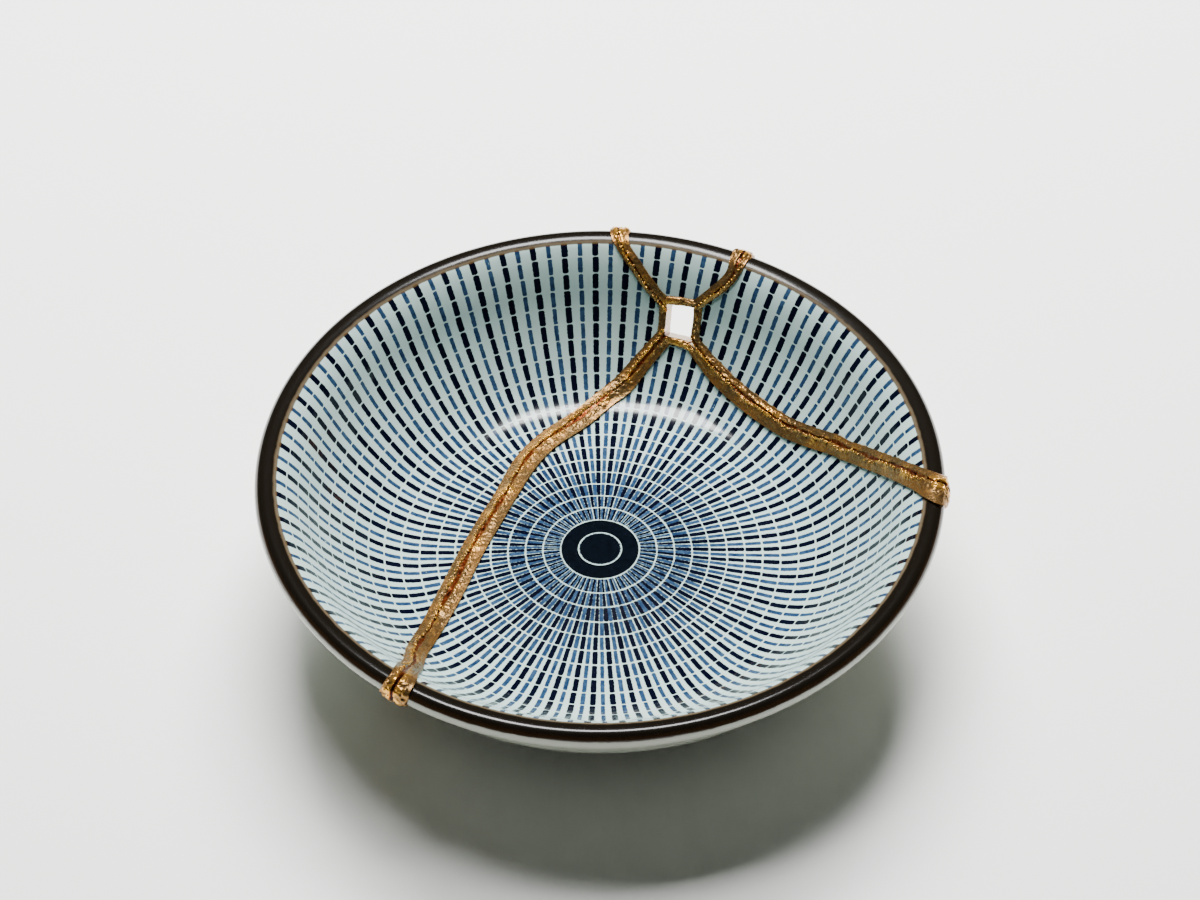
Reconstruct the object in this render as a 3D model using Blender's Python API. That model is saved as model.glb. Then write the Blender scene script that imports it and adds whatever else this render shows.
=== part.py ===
"""Kintsugi plate: a shallow stoneware bowl that broke into four shards, joined again with gold.

Metres, +Z up. The origin is under the middle of the foot ring, and +Y is the bowl's far side,
where the small rim shard and the gap of the lost fragment are.
"""
import math
from collections import Counter

import bmesh
import bpy
import numpy as np
from mathutils import Vector

# Driving sizes, in metres
RIM_RADIUS = 0.0792         # axis to the outermost edge of the lip
BOWL_DEPTH = 0.0274         # middle of the floor up to the top of the lip
WALL = 0.0062               # thickness of floor and side
LIP_THICK = 0.0054          # thickness of the rounded lip
FOOT_RADIUS = 0.0410        # axis to the foot ring's outer side
FOOT_WIDTH = 0.0048         # flat underside of the foot ring, across
FOOT_HEIGHT = 0.0048        # foot ring below the outside of the floor
SEAM_WIDTH = 0.0050         # gold over the two long cracks
FINE_SEAM_WIDTH = 0.0030    # gold over the two short cracks at the rim shard
SEAM_HEIGHT = 0.0007        # gold above the glaze
SEAM_WEB = 0.0010           # gold inside a crack, between two shards
HOLE_WIDTH = 0.0066         # gap of the lost fragment, around the bowl
HOLE_HEIGHT = 0.0082        # the same gap, up the side
FRAME_WIDTH = 0.0018        # gold border around that gap
CLEARANCE = 0.0003          # between gold and shard

# The inside from the middle of the floor to the top of the lip is a run of arcs:
# share of the run where the arc ends, and the slope there in degrees.
INSIDE_RUN = ((0.0, 0.0), (0.203, -5.9), (0.461, 0.7), (0.6225, 39.5), (0.8475, 59.6), (0.910, 54.2),
              (0.965, 42.0), (1.0, 7.6))
LIP_TAPER_FROM = 0.87       # share of the run where the wall starts to thin towards the lip

# The cracks, as azimuth in degrees (0 is +X, 90 is +Y), share of the run, and share of the seam's width
LEFT_RIM_CRACK = ((74.8, 0.806, 0.9), (76.4, 0.825, 0.9), (80.5, 0.876, 1.0), (83.3, 0.924, 1.0),
                  (85.5, 0.965, 1.0), (86.3, 1.0, 1.3))
RIGHT_RIM_CRACK = ((71.4, 0.809, 0.9), (69.8, 0.835, 0.9), (67.8, 0.869, 0.9), (65.5, 0.908, 1.0),
                   (64.0, 0.950, 1.1), (63.9, 1.0, 1.4))
LONG_CRACK = ((74.0, 0.758, 0.8), (75.5, 0.730, 0.85), (79.5, 0.659, 0.9), (83.8, 0.591, 1.0),
              (88.8, 0.546, 0.95), (96.0, 0.489, 1.0), (109.3, 0.430, 1.0), (122.5, 0.378, 1.05),
              (140.8, 0.325, 0.95), (159.0, 0.314, 1.0), (178.0, 0.337, 1.0), (198.8, 0.412, 1.05),
              (210.3, 0.505, 1.0), (218.5, 0.613, 1.0), (225.3, 0.717, 1.0), (230.5, 0.852, 1.0),
              (235.2, 1.0, 1.1))
SIDE_CRACK = ((70.4, 0.760, 0.6), (67.3, 0.723, 0.8), (60.0, 0.673, 0.95), (49.8, 0.646, 1.0),
              (37.3, 0.653, 1.0), (25.0, 0.715, 1.0), (19.8, 0.747, 0.95), (12.5, 0.808, 1.0),
              (5.0, 0.884, 1.0), (-4.0, 1.0, 1.1))

# The lost fragment's gap: its middle, and its corners as shares of its width and height
HOLE_AZIMUTH = 72.5
HOLE_SHARE = 0.783
HOLE_CORNERS = ((0.55, 0.44), (-0.42, 0.52), (-0.54, -0.38), (-0.80, -0.64), (-0.40, -0.50), (0.47, -0.49))
HOLE_STEPS = 2              # pieces of each side of the gap, so that it follows the curved wall

# How finely the turned shapes are faceted
SEGMENTS = 64
DEGREES_PER_RING = 9.0
LIP_STEPS = 4
SHORTEST_STEP = 0.0006      # between two rings of the outside, which draw together under the lip
FILLET_STEPS = 1
STEPS_PER_SPAN = 2          # cutter pieces between two points of a crack
RUN_SAMPLES = 600

# Cracks run through the wall along lines from a point on the axis over the middle of the floor
FOCUS_HEIGHT = 0.75 * RIM_RADIUS
CUT_ABOVE = 3.5 * (SEAM_HEIGHT + CLEARANCE)
CUT_BELOW = 1.6 * (WALL + FOOT_HEIGHT)
CUT_PAST_RIM = 2.0 * LIP_THICK
FOOT_FILLET = 0.3 * FOOT_HEIGHT
MAX_MITRE = 1.6             # longest corner of a grown outline, in widths

GLAZE = (0.62, 0.68, 0.64, 1.0)
GOLD = (0.60, 0.42, 0.18, 1.0)


def inside_table():
    """Share, radius, height and normal along the inside, from the floor's middle to the lip's top."""
    share = np.linspace(0.0, 1.0, RUN_SAMPLES)
    knots, slopes = zip(*INSIDE_RUN)
    slope = np.radians(np.interp(share, knots, slopes))
    middle = 0.5 * (slope[1:] + slope[:-1])
    radius = np.concatenate([[0.0], np.cumsum(np.cos(middle))])
    height = np.concatenate([[0.0], np.cumsum(np.sin(middle))])
    lip_turn = 1.0 + math.sin(math.radians(slopes[-1]))
    radius *= (RIM_RADIUS - 0.5 * LIP_THICK * lip_turn) / radius[-1]
    height *= BOWL_DEPTH / height[-1]
    along = np.stack([np.gradient(radius), np.gradient(height)], axis=1)
    along /= np.linalg.norm(along, axis=1)[:, None]
    return share, radius, height, np.stack([-along[:, 1], along[:, 0]], axis=1)


TABLE = inside_table()
RUN_LENGTH = float(np.hypot(np.diff(TABLE[1]), np.diff(TABLE[2])).sum())


def inside_at(share):
    """Point and normal of the inside, as (radius, height over the floor's middle) pairs."""
    shares, radius, height, normal = TABLE
    point = np.array([np.interp(share, shares, radius), np.interp(share, shares, height)])
    facing = np.array([np.interp(share, shares, normal[:, 0]), np.interp(share, shares, normal[:, 1])])
    return point, facing / np.linalg.norm(facing)


def thickness_at(share):
    """Wall thickness, thinning evenly into the lip."""
    lip = max(0.0, (share - LIP_TAPER_FROM) / (1.0 - LIP_TAPER_FROM))
    return WALL + (LIP_THICK - WALL) * lip


def outside_at(share):
    """Point of the outside, straight through the wall from the inside."""
    point, facing = inside_at(share)
    return point - thickness_at(share) * facing


def foot_share():
    """Share of the run where the outside meets the foot ring's outer side."""
    shares = np.linspace(0.0, 1.0, RUN_SAMPLES)
    radii = [outside_at(share)[0] for share in shares]
    return float(np.interp(FOOT_RADIUS, radii, shares))


# Height of the floor's middle over the surface that the bowl stands on
FLOOR_LEVEL = FOOT_HEIGHT - outside_at(foot_share())[1]


def ring_shares():
    """Shares of the inside rings, closer together where the run turns more."""
    shares = [0.0]
    for (start, slope), (end, next_slope) in zip(INSIDE_RUN, INSIDE_RUN[1:]):
        steps = max(1, round(abs(next_slope - slope) / DEGREES_PER_RING))
        shares += [start + (end - start) * step / steps for step in range(1, steps + 1)]
    return shares


def fillet(corner, towards_a, towards_b, size):
    """Points of a round inner corner, from its start on one side to its end on the other."""
    start = corner + size * towards_a
    end = corner + size * towards_b
    points = []
    for step in range(FILLET_STEPS + 1):
        turn = 0.5 * math.pi * step / FILLET_STEPS
        from_start, from_end = 1.0 - math.sin(turn), 1.0 - math.cos(turn)
        points.append(corner + (start - corner) * from_start + (end - corner) * from_end)
    return points


def bowl_profile():
    """Closed half section of the bowl, from the axis inside, over the lip, to the axis underneath."""
    shares = ring_shares()
    points = [inside_at(share)[0] for share in shares]
    top, facing = inside_at(1.0)
    middle = top - 0.5 * LIP_THICK * facing
    across = np.array([facing[1], -facing[0]])
    for step in range(1, LIP_STEPS):
        turn = math.pi * step / LIP_STEPS
        points.append(middle + 0.5 * LIP_THICK * (math.cos(turn) * facing + math.sin(turn) * across))
    meet = foot_share()
    # The last outside ring stays clear of the fillet at the foot
    lowest = meet + 2.0 * FOOT_FILLET / RUN_LENGTH
    for share in reversed(shares):
        point = outside_at(share)
        if share > lowest and np.linalg.norm(point - points[-1]) > SHORTEST_STEP:
            points.append(point)
    out, down, inwards = np.array([1.0, 0.0]), np.array([0.0, -1.0]), np.array([-1.0, 0.0])
    points += fillet(outside_at(meet), out, down, FOOT_FILLET)
    sole = outside_at(meet)[1] - FOOT_HEIGHT
    points.append(np.array([FOOT_RADIUS, sole]))
    points.append(np.array([FOOT_RADIUS - FOOT_WIDTH, sole]))
    recess = outside_at(meet)[1]
    points += fillet(np.array([FOOT_RADIUS - FOOT_WIDTH, recess]), down, inwards, FOOT_FILLET)
    points.append(np.array([0.0, recess]))
    return np.array(points) + np.array([0.0, FLOOR_LEVEL])


def grown(profile, by):
    """The profile moved outwards by one distance all round, with mitred corners."""
    edges = np.diff(profile, axis=0)
    edges /= np.linalg.norm(edges, axis=1)[:, None]
    normals = np.stack([-edges[:, 1], edges[:, 0]], axis=1)
    before = np.concatenate([normals[:1], normals])
    after = np.concatenate([normals, normals[-1:]])
    mitre = before + after
    mitre /= np.linalg.norm(mitre, axis=1)[:, None]
    mitre /= np.einsum("ij,ij->i", mitre, after)[:, None]
    moved = profile + by * mitre
    moved[0, 0] = 0.0
    moved[-1, 0] = 0.0
    return moved


def mesh_object(name, vertices, faces):
    """A new object of these faces, turned outwards and linked to the scene."""
    form = bmesh.new()
    made = [form.verts.new(vertex) for vertex in vertices]
    for face in faces:
        form.faces.new([made[index] for index in face])
    bmesh.ops.recalc_face_normals(form, faces=form.faces)
    mesh = bpy.data.meshes.new(name)
    form.to_mesh(mesh)
    form.free()
    made_object = bpy.data.objects.new(name, mesh)
    bpy.context.collection.objects.link(made_object)
    return made_object


def turned(name, profile):
    """A solid turned from a half section whose two ends lie on the axis."""
    vertices = [(0.0, 0.0, profile[0, 1])]
    for radius, height in profile[1:-1]:
        for step in range(SEGMENTS):
            turn = 2.0 * math.pi * step / SEGMENTS
            vertices.append((radius * math.cos(turn), radius * math.sin(turn), height))
    vertices.append((0.0, 0.0, profile[-1, 1]))
    rings = len(profile) - 2
    last = len(vertices) - 1
    faces = []
    for step in range(SEGMENTS):
        following = (step + 1) % SEGMENTS
        faces.append((0, 1 + step, 1 + following))
        faces.append((last, 1 + (rings - 1) * SEGMENTS + following, 1 + (rings - 1) * SEGMENTS + step))
        for ring in range(rings - 1):
            low, high = 1 + ring * SEGMENTS, 1 + (ring + 1) * SEGMENTS
            faces.append((low + step, high + step, high + following, low + following))
    return mesh_object(name, vertices, faces)


def on_inside(azimuth, share):
    """Point of the inside surface at an azimuth in degrees and a share of the run."""
    (radius, height), _ = inside_at(share)
    turn = math.radians(azimuth)
    return Vector((radius * math.cos(turn), radius * math.sin(turn), height + FLOOR_LEVEL))


def through_wall(point):
    """Direction in which a crack runs through the wall at a point of the inside."""
    return (point - Vector((0.0, 0.0, FLOOR_LEVEL + FOCUS_HEIGHT))).normalized()


def smooth_route(points):
    """Route through a crack's points, as surface points and width shares, on past the rim if it ends there."""
    flat = []
    for azimuth, share, width in points:
        turn = math.radians(azimuth)
        flat.append(np.array([share * math.cos(turn), share * math.sin(turn), width]))
    flat = [2.0 * flat[0] - flat[1]] + flat + [2.0 * flat[-1] - flat[-2]]
    route = []
    for before, start, end, after in zip(flat, flat[1:], flat[2:], flat[3:]):
        last = end is flat[-2]
        for step in range(STEPS_PER_SPAN + last):
            t = step / STEPS_PER_SPAN
            spot = 0.5 * (2.0 * start + (end - before) * t + (2.0 * before - 5.0 * start + 4.0 * end - after) * t ** 2
                          + (3.0 * start - before - 3.0 * end + after) * t ** 3)
            share = math.hypot(spot[0], spot[1])
            azimuth = math.degrees(math.atan2(spot[1], spot[0]))
            route.append((on_inside(azimuth, min(share, 1.0)), spot[2]))
    if points[-1][1] >= 1.0:
        end, width = route[-1]
        outwards = (end - route[-2][0]).normalized()
        route.append((end + CUT_PAST_RIM * outwards, width))
    return route


def ribbon(name, route, width):
    """Cutter along a route, from above the glaze to below the foot."""
    vertices = []
    for index, (point, share) in enumerate(route):
        before = route[max(index - 1, 0)][0]
        after = route[min(index + 1, len(route) - 1)][0]
        depth = through_wall(point)
        side = (after - before).cross(depth).normalized() * (0.5 * width * share)
        for corner, reach in ((-side, -CUT_ABOVE), (side, -CUT_ABOVE), (side, CUT_BELOW), (-side, CUT_BELOW)):
            vertices.append(point + corner + reach * depth)
    faces = [(0, 1, 2, 3)]
    for index in range(len(route) - 1):
        low, high = 4 * index, 4 * index + 4
        faces += [(low + a, low + (a + 1) % 4, high + (a + 1) % 4, high + a) for a in range(4)]
    end = 4 * (len(route) - 1)
    faces.append((end, end + 1, end + 2, end + 3))
    return as_cutter(mesh_object(name, vertices, faces))


def hole_prism(name, border):
    """Cutter of the lost fragment's outline, with a border around it."""
    corners = [np.array([HOLE_WIDTH * x, HOLE_HEIGHT * y]) for x, y in HOLE_CORNERS]
    outline = []
    for before, corner, after in zip(corners[-1:] + corners[:-1], corners, corners[1:] + corners[:1]):
        left = (corner - before) / np.linalg.norm(corner - before)
        right = (after - corner) / np.linalg.norm(after - corner)
        normal = np.array([-left[1] - right[1], left[0] + right[0]])
        normal /= np.linalg.norm(normal)
        reach = min(1.0 / abs(float(np.dot(normal, [-left[1], left[0]]))), MAX_MITRE)
        outline.append(corner - border * reach * normal)
    radius = inside_at(HOLE_SHARE)[0][0]
    points = []
    for corner, after in zip(outline, outline[1:] + outline[:1]):
        for step in range(HOLE_STEPS):
            x, y = corner + (after - corner) * step / HOLE_STEPS
            point = on_inside(HOLE_AZIMUTH + math.degrees(x / radius), HOLE_SHARE + y / RUN_LENGTH)
            points.append(point)
    vertices = [point - CUT_ABOVE * through_wall(point) for point in points]
    vertices += [point + CUT_BELOW * through_wall(point) for point in points]
    count = len(points)
    faces = [tuple(range(count)), tuple(range(2 * count - 1, count - 1, -1))]
    faces += [(a, (a + 1) % count, count + (a + 1) % count, count + a) for a in range(count)]
    return as_cutter(mesh_object(name, vertices, faces))


def as_cutter(guide):
    """Marks an object as a tool that isn't part of the bowl."""
    guide.hide_render = True
    guide.display_type = 'WIRE'
    return guide


def boolean(target, other, operation, solver='EXACT'):
    """Adds one Boolean to an object."""
    modifier = target.modifiers.new(other.name, 'BOOLEAN')
    modifier.operation = operation
    modifier.solver = solver
    modifier.object = other


def applied(source):
    """The object's mesh with its modifiers applied, in triangles."""
    depsgraph = bpy.context.evaluated_depsgraph_get()
    mesh = bpy.data.meshes.new_from_object(source.evaluated_get(depsgraph))
    form = bmesh.new()
    form.from_mesh(mesh)
    bmesh.ops.triangulate(form, faces=form.faces)
    form.to_mesh(mesh)
    form.free()
    return mesh


def crack_cutter(name, long_width, fine_width, border, solver='EXACT'):
    """One cutter for all four cracks and the lost fragment."""
    whole = hole_prism(name, border)
    cracks = ((LEFT_RIM_CRACK, fine_width), (RIGHT_RIM_CRACK, fine_width), (LONG_CRACK, long_width),
              (SIDE_CRACK, long_width))
    for number, (points, width) in enumerate(cracks, start=1):
        boolean(whole, ribbon(f"{name}_{number}", smooth_route(points), width), 'UNION', solver)
    return whole


def material(name, colour, roughness, metallic):
    """Plain Principled material."""
    made = bpy.data.materials.new(name)
    made.use_nodes = True
    shader = made.node_tree.nodes["Principled BSDF"]
    shader.inputs["Base Color"].default_value = colour
    shader.inputs["Roughness"].default_value = roughness
    shader.inputs["Metallic"].default_value = metallic
    made.diffuse_color = colour
    return made


def finish(piece, look):
    """Smooth shading with crisp edges, and the piece's material."""
    piece.data.materials.clear()
    piece.data.materials.append(look)
    piece.data.shade_smooth()
    piece.data.set_sharp_from_angle(angle=math.radians(35.0))


def split(mesh):
    """The mesh's separate bodies, each as its corners and the faces between them.

    Two faces on the same corners are a fold without thickness, left by a Boolean, and cancel out.
    """
    form = bmesh.new()
    form.from_mesh(mesh)
    uses = Counter(frozenset(face.verts) for face in form.faces)
    left = {face: True for face in form.faces if uses[frozenset(face.verts)] == 1}
    bodies = []
    while left:
        reached = [left.popitem()[0]]
        corners, faces = {}, []
        while reached:
            face = reached.pop()
            faces.append([corners.setdefault(vertex, len(corners)) for vertex in face.verts])
            for edge in face.edges:
                for other in edge.link_faces:
                    if other in left:
                        del left[other]
                        reached.append(other)
        bodies.append(([vertex.co.copy() for vertex in corners], faces))
    form.free()
    return bodies


def rim_azimuth(body):
    """Mean azimuth of a body's highest points, which lie on the lip."""
    corners = body[0]
    height = max(corner.z for corner in corners)
    top = sum((corner for corner in corners if corner.z > height - 0.5 * LIP_THICK), Vector())
    return math.degrees(math.atan2(top.y, top.x))


def make_shards():
    """The four shards, cut from the whole bowl with a gap for the gold."""
    bowl = as_cutter(turned("whole_bowl", bowl_profile()))
    gap = SEAM_WEB + 2.0 * CLEARANCE
    boolean(bowl, crack_cutter("gap_cutter", gap, gap, SEAM_WEB + CLEARANCE), 'DIFFERENCE')
    bodies = split(applied(bowl))
    middles = (("rim_shard", 75.0), ("right_shard", 30.0), ("front_shard", -65.0), ("left_shard", 160.0))
    glaze = material("glazed_stoneware", GLAZE, 0.22, 0.0)
    for name, middle in middles:
        body = min(bodies, key=lambda one: abs(math.remainder(rim_azimuth(one) - middle, 360.0)))
        bodies.remove(body)
        finish(mesh_object(name, *body), glaze)


def make_seam():
    """The gold: a web in every crack, a raised band over it inside and out, and a border at the gap.

    The skins lie so close together that the exact solver can lose them, so these cuts use the other one.
    """
    profile = bowl_profile()
    skin = grown(profile, CLEARANCE + SEAM_HEIGHT)
    # The gold stays off the surface that the foot stands on
    skin[:, 1] = np.maximum(skin[:, 1], CLEARANCE)
    spare = as_cutter(turned("bowl_and_clearance", grown(profile, CLEARANCE)))
    web = crack_cutter("web_cutter", SEAM_WEB, SEAM_WEB, SEAM_WEB, 'MANIFOLD')
    boolean(spare, web, 'DIFFERENCE', 'MANIFOLD')
    whole = as_cutter(turned("gold_skin", skin))
    band = crack_cutter("band_cutter", SEAM_WIDTH, FINE_SEAM_WIDTH, FRAME_WIDTH, 'MANIFOLD')
    boolean(whole, band, 'INTERSECT', 'MANIFOLD')
    boolean(whole, spare, 'DIFFERENCE', 'MANIFOLD')
    boolean(whole, hole_prism("gap_of_fragment", 0.0), 'DIFFERENCE', 'MANIFOLD')
    body = max(split(applied(whole)), key=lambda one: len(one[1]))
    finish(mesh_object("gold_seam", *body), material("gold_lacquer", GOLD, 0.3, 1.0))


def main():
    for old in list(bpy.data.objects):
        bpy.data.objects.remove(old, do_unlink=True)
    make_shards()
    make_seam()


main()
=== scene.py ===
"""Looks of the kintsugi bowl: four glazed shards, the gold that joins them, and a plain studio stage.

Metres, +Z up, in the frame of the CAD model. The origin is under the middle of the foot ring.
"""
import math
from collections import namedtuple

import bmesh
import bpy
import numpy as np
from bpy.props import FloatProperty, PointerProperty, StringProperty
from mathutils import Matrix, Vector, noise
from mathutils.kdtree import KDTree


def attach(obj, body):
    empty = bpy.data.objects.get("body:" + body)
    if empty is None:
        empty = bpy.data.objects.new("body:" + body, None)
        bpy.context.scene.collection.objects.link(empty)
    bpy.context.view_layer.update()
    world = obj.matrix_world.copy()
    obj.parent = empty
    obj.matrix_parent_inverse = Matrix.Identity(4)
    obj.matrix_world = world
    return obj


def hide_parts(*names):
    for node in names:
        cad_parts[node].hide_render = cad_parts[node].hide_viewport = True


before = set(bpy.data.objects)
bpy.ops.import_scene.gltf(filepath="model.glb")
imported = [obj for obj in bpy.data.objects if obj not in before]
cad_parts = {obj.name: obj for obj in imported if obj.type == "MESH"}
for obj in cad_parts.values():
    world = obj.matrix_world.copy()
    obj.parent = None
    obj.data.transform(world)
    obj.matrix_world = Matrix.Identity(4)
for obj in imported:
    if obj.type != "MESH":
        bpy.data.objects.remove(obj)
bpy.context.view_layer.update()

bl_info = {
    "name": "Kintsugi Bowl",
    "version": (1, 0, 0),
    "blender": (4, 5, 0),
    "location": "View3D > Sidebar > Kintsugi",
    "description": "Makes a mended stoneware bowl: glazed shards, gold seams and a studio stage",
    "category": "Add Mesh",
}

MM = 0.001

# The same sizes as in the CAD model
RIM_RADIUS = 0.0792
BOWL_DEPTH = 0.0274
WALL = 0.0062
LIP_THICK = 0.0054
FOOT_RADIUS = 0.0410
FOOT_WIDTH = 0.0048
FOOT_HEIGHT = 0.0048
SEAM_WIDTH = 0.0050
FINE_SEAM_WIDTH = 0.0030
SEAM_HEIGHT = 0.0007
SEAM_WEB = 0.0010
HOLE_WIDTH = 0.0066
HOLE_HEIGHT = 0.0082
FRAME_WIDTH = 0.0018
CLEARANCE = 0.0003
GOLD_TOP = SEAM_HEIGHT + CLEARANCE
INSIDE_RUN = ((0.0, 0.0), (0.203, -5.9), (0.461, 0.7), (0.6225, 39.5), (0.8475, 59.6), (0.910, 54.2),
              (0.965, 42.0), (1.0, 7.6))
LIP_TAPER_FROM = 0.87
LIP_TURN_FROM = 0.965       # the outside runs straight from here to the round lip
LEFT_RIM_CRACK = ((74.8, 0.806, 0.9), (76.4, 0.825, 0.9), (80.5, 0.876, 1.0), (83.3, 0.924, 1.0),
                  (85.5, 0.965, 1.0), (86.3, 1.0, 1.3))
RIGHT_RIM_CRACK = ((71.4, 0.809, 0.9), (69.8, 0.835, 0.9), (67.8, 0.869, 0.9), (65.5, 0.908, 1.0),
                   (64.0, 0.950, 1.1), (63.9, 1.0, 1.4))
LONG_CRACK = ((74.0, 0.758, 0.8), (75.5, 0.730, 0.85), (79.5, 0.659, 0.9), (83.8, 0.591, 1.0),
              (88.8, 0.546, 0.95), (96.0, 0.489, 1.0), (109.3, 0.430, 1.0), (122.5, 0.378, 1.05),
              (140.8, 0.325, 0.95), (159.0, 0.314, 1.0), (178.0, 0.337, 1.0), (198.8, 0.412, 1.05),
              (210.3, 0.505, 1.0), (218.5, 0.613, 1.0), (225.3, 0.717, 1.0), (230.5, 0.852, 1.0),
              (235.2, 1.0, 1.1))
SIDE_CRACK = ((70.4, 0.760, 0.6), (67.3, 0.723, 0.8), (60.0, 0.673, 0.95), (49.8, 0.646, 1.0),
              (37.3, 0.653, 1.0), (25.0, 0.715, 1.0), (19.8, 0.747, 0.95), (12.5, 0.808, 1.0),
              (5.0, 0.884, 1.0), (-4.0, 1.0, 1.1))
HOLE_AZIMUTH = 72.5
HOLE_SHARE = 0.783
HOLE_CORNERS = ((0.55, 0.44), (-0.42, 0.52), (-0.54, -0.38), (-0.80, -0.64), (-0.40, -0.50), (0.47, -0.49))
FOCUS_HEIGHT = 0.75 * RIM_RADIUS
FOOT_FILLET = 0.3 * FOOT_HEIGHT
SHARD_MIDDLES = (("rim_shard", 75.0), ("right_shard", 30.0), ("front_shard", -65.0), ("left_shard", 160.0))

# How finely the bowl is turned here
SEGMENTS = 320
SOLE_EDGE = 0.0005          # rounding of the foot ring's edges
INSIDE_STEP = 0.0008
LIP_STEP = 0.0004
OUTSIDE_STEP = 0.0012
SKIN_STEP = 0.0001
LIP_ZONE = 0.004            # the rings are close together from here to the lip's top

# How far the cutters reach over the inside and under it
CUT_OVER = 0.0035
CUT_UNDER = 0.0163

# The painted pattern
SPOKES = 61                 # dark spokes round the bowl, with a blue one between each two
SPOKE_TURN = 0.85           # the pattern's turn about the axis, in degrees
ROW_PITCH = 4.12            # one row of brush dashes, in mm of the run
ROW_START = 0.96
ROWS = 21
HAUNCH_STRETCH = 0.55       # how far the rows on the haunch sit outwards, in mm
HAUNCH_ROW = 14.0
HAUNCH_ROWS = 3.0
LAST_ROW_SHORT = 0.6
LANE_SHARE = 0.49           # share of half a lane that a dash fills to either side, near the middle
# Navy and blue dashes: turn in lanes, widening per mm of radius, widest half width and half length in mm
DASHES = ((0.5, 0.0042, 0.47, 1.96), (0.0, 0.0018, 0.44, 1.93))
DASH_OFF = 0.08             # how far a dash sits off its lane at most, in mm
DASH_VARIES = 0.08          # share by which dashes are wider or narrower
DASH_CORNER = 0.62          # radius of the round corners, as a share of the half width
DASH_EDGE = 0.07            # softness of the edge to either side, in mm
RAGGED = 0.14               # how far the edge wanders, in mm
DISC_EDGE = (9.15, 8.95)    # runs in mm between which the dark middle ends
PALE_RING = (4.94, 0.22)    # run and half width in mm of the ring in it
SPECK_GREY = "9FB0AE"
NAVY_POOLED = "050817"
MIDDLE_NAVY = ("030509", "050910")
CLAY = ("D6D2C8", "B9B3A6")

# The gold's relief
SEAM_OUTSIDE = 0.0055       # how far it runs down the outside
LUMPS_BACK = 0.0050         # the lip lumps' middle, back from the lip's outer edge
LUMPS_REACH = 0.0034
SUNK = 0.35 * MM            # how deep its hidden underside lies
STRIP_NEAR = 0.4 * MM       # what lies closer to a seam's top takes its colours
GRAINS_END = 0.002          # the loose grains stop this far before the lip's top
# Least and most of each loose grain's shift, size and turn along x, y and z
GRAIN_SHIFT = ((-1.0, -1.0, -0.3), (1.0, 1.0, 0.3))
GRAIN_SIZE = ((0.7, 0.45, 0.5), (1.4, 0.95, 0.9))
GRAIN_TURN = ((0.0, 0.0, 0.0), (6.28, 6.28, 6.28))
CORE_SUNK = 0.1 * MM        # the webs between the shards end under the glaze
BAND_HEIGHT = 0.45 * MM     # the plain bands outside
BAND_DEPTH = 0.3 * MM
SOLE_SINK = 0.80 * MM       # how far the bands sink near the sole, from this height down
SOLE_CLEAR = 1.4 * MM

# The camera, from the photograph's viewing angle
CAMERA_BACK = 0.7012        # from the axis
CAMERA_UP = 0.7965          # over the floor of the bowl
CAMERA_TILT = 42.595
CAMERA_LENS = 136.5
FLOOR_HALF = 3.0

MATH = "ShaderNodeMath"
NOISE = "ShaderNodeTexNoise"
MAP = "ShaderNodeMapRange"


def linear(hex_colour):
    """Linear RGBA of an sRGB hex colour such as 'C8A060'."""
    parts = [int(hex_colour[at:at + 2], 16) / 255.0 for at in (0, 2, 4)]
    return tuple(c / 12.92 if c <= 0.04045 else ((c + 0.055) / 1.055) ** 2.4 for c in parts) + (1.0,)


def add(tree, kind, settings=None, *inputs, **named):
    """Adds a node, sets its operation or settings, and fills its inputs in order or by name."""
    node = tree.nodes.new(kind)
    if isinstance(settings, str):
        settings = {"operation": settings}
    for key, value in (settings or {}).items():
        setattr(node, key, value)
    pairs = list(zip(node.inputs, inputs))
    pairs += [(node.inputs[key.replace("_", " ")], value) for key, value in named.items()]
    for socket, value in pairs:
        if isinstance(value, bpy.types.Node):
            value = value.outputs[0]
        if isinstance(value, bpy.types.NodeSocket):
            tree.links.new(value, socket)
        elif value is not None:
            socket.default_value = value
    return node


# The bowl's skin

def inside_table():
    """Share, radius, height and normal along the inside, from the floor's middle to the lip's top."""
    share = np.linspace(0.0, 1.0, 1201)
    knots, slopes = zip(*INSIDE_RUN)
    slope = np.radians(np.interp(share, knots, slopes))
    middle = 0.5 * (slope[1:] + slope[:-1])
    radius = np.concatenate([[0.0], np.cumsum(np.cos(middle))])
    height = np.concatenate([[0.0], np.cumsum(np.sin(middle))])
    lip_turn = 1.0 + math.sin(math.radians(slopes[-1]))
    radius *= (RIM_RADIUS - 0.5 * LIP_THICK * lip_turn) / radius[-1]
    height *= BOWL_DEPTH / height[-1]
    points = np.stack([radius, height], axis=1)
    return share, points, normals_along(points)


def normals_along(points):
    """Normals of a half section that runs from the floor's middle over the lip to the underside."""
    along = np.gradient(points, axis=0)
    along /= np.linalg.norm(along, axis=1)[:, None]
    return np.stack([-along[:, 1], along[:, 0]], axis=1)


def outside_of(share, points, normals):
    """Points of the outside, straight through the wall, which thins evenly into the lip."""
    lip = np.clip((share - LIP_TAPER_FROM) / (1.0 - LIP_TAPER_FROM), 0.0, 1.0)
    thick = WALL + (LIP_THICK - WALL) * lip
    return points - thick[:, None] * normals


def arc(centre, start, end, radius, steps=8):
    """Points of an arc round a centre, between two angles in degrees."""
    turns = np.radians(np.linspace(start, end, steps + 1))
    return centre + radius * np.stack([np.cos(turns), np.sin(turns)], axis=1)


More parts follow.
